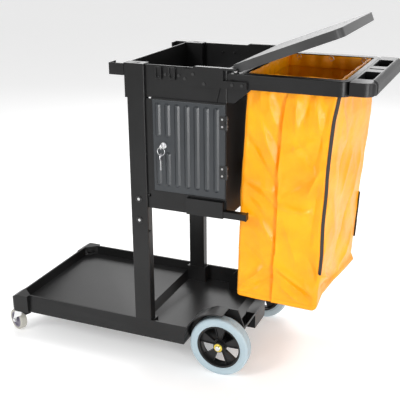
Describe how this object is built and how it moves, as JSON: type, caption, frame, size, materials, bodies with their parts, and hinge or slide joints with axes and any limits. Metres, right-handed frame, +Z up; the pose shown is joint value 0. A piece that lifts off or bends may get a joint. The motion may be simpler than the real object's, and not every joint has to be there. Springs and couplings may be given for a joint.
{
  "type": "housekeeping cart",
  "caption": "Moulded janitor cart with a low deck, lockable cabinet, top tray, hinged lid, hanging yellow vinyl bag, large rear wheels and swivel front casters.",
  "frame": {"origin": "on the floor under the middle of the whole cart's bounding box", "axes": "+X towards the push handle and the bag, -Y towards the cabinet door, +Z up"},
  "size_m": [1.271, 0.5266, 1.1297],
  "materials": {
    "body_plastic": "satin moulded black plastic",
    "door_plastic": "satin dark grey plastic",
    "lid_plastic": "fine textured grey plastic",
    "grip_plastic": "textured grey plastic",
    "hub_plastic": "satin dark plastic",
    "tyre_rubber": "pale blue-grey rubber",
    "tread_rubber": "pale grey rubber",
    "core_plastic": "grey plastic",
    "zinc": "bright zinc plate",
    "yellow_zinc": "yellow zinc plate",
    "steel": "plain steel",
    "black_steel": "black painted steel",
    "vinyl": "coated yellow vinyl cloth"
  },
  "bodies": {
    "cart": {"axle_cap_far": "zinc", "axle_cap_near": "zinc", "axle_washer_far": "yellow_zinc", "axle_washer_near": "yellow_zinc", "bag": "vinyl", "bag_frame": "body_plastic", "bag_pegs": "body_plastic", "bar_cap_far": "body_plastic", "bar_cap_near": "body_plastic", "base_platform": "body_plastic", "cabinet_shell": "body_plastic", "caster_kingpin_far": "zinc", "caster_kingpin_near": "zinc", "caster_plate_far": "zinc", "caster_plate_near": "zinc", "handle_bracket_far": "body_plastic", "handle_bracket_near": "body_plastic", "handle_grip": "grip_plastic", "hinge_frame_leaves": "black_steel", "hinge_frame_screws": "black_steel", "hinge_pins": "black_steel", "hook_arm_far": "body_plastic", "hook_arm_near": "body_plastic", "lid_pin_far": "steel", "lid_pin_near": "steel", "lower_shelf": "body_plastic", "panel_screws": "steel", "post_far": "body_plastic", "post_near": "body_plastic", "push_handle": "body_plastic", "rear_axle": "steel", "support_bar_far": "body_plastic", "support_bar_near": "body_plastic", "tool_clips_far": "body_plastic", "tool_clips_near": "body_plastic", "top_tray": "body_plastic"},
    "wheel_near": {"wheel_tyre_near": "tyre_rubber", "wheel_hub_near": "hub_plastic"},
    "wheel_far": {"wheel_tyre_far": "tyre_rubber", "wheel_hub_far": "hub_plastic"},
    "lid": {"lid": "lid_plastic"},
    "door": {"cabinet_door": "door_plastic", "hinge_door_leaves": "black_steel", "hinge_door_screws": "black_steel", "lock_housing": "zinc"},
    "lock": {"lock_barrel": "zinc", "lock_cam": "zinc", "door_key": "zinc"},
    "key_ring": {"key_ring": "zinc", "spare_key": "zinc"},
    "swivel_near": {"caster_fork_near": "zinc", "caster_axle_near": "zinc", "caster_tab_near": "body_plastic"},
    "roller_near": {"caster_core_near": "core_plastic", "caster_tread_near": "tread_rubber"},
    "swivel_far": {"caster_fork_far": "zinc", "caster_axle_far": "zinc", "caster_tab_far": "body_plastic"},
    "roller_far": {"caster_core_far": "core_plastic", "caster_tread_far": "tread_rubber"}
  },
  "joints": [
    {"name": "wheel_near_spin", "type": "hinge", "parent": "cart", "child": "wheel_near", "pos_m": [0.18704, -0.20827, 0.1], "axis": [0, 1, 0], "continuous": true},
    {"name": "wheel_far_spin", "type": "hinge", "parent": "cart", "child": "wheel_far", "pos_m": [0.18704, 0.21072, 0.1], "axis": [0, 1, 0], "continuous": true},
    {"name": "caster_near_swivel", "type": "hinge", "parent": "cart", "child": "swivel_near", "pos_m": [-0.56596, -0.22278, 0.088], "axis": [0, 0, 1], "continuous": true},
    {"name": "caster_near_roll", "type": "hinge", "parent": "swivel_near", "child": "roller_near", "pos_m": [-0.59726, -0.20949, 0.0375], "axis": [0.3907, 0.9205, 0], "continuous": true},
    {"name": "caster_far_swivel", "type": "hinge", "parent": "cart", "child": "swivel_far", "pos_m": [-0.56596, 0.22523, 0.088], "axis": [0, 0, 1], "continuous": true},
    {"name": "caster_far_roll", "type": "hinge", "parent": "swivel_far", "child": "roller_far", "pos_m": [-0.59726, 0.23851, 0.0375], "axis": [0.3907, 0.9205, 0], "continuous": true},
    {"name": "lid_hinge", "type": "hinge", "parent": "cart", "child": "lid", "pos_m": [0.23904, 0.00122, 0.996], "axis": [0, -1, 0], "range_deg": [-21.3, 68.7]},
    {"name": "door_hinge", "type": "hinge", "parent": "cart", "child": "door", "pos_m": [0.21764, -0.23697, 0.7533], "axis": [0, 0, 1], "range_deg": [0, 110]},
    {"name": "lock_turn", "type": "hinge", "parent": "door", "child": "lock", "pos_m": [0.01304, -0.22878, 0.757], "axis": [0, 1, 0], "range_deg": [0, 90]},
    {"name": "key_ring_swing", "type": "hinge", "parent": "lock", "child": "key_ring", "pos_m": [0.01304, -0.25377, 0.7554], "axis": [1, 0, 0], "range_deg": [-60, 8]}
  ]
}
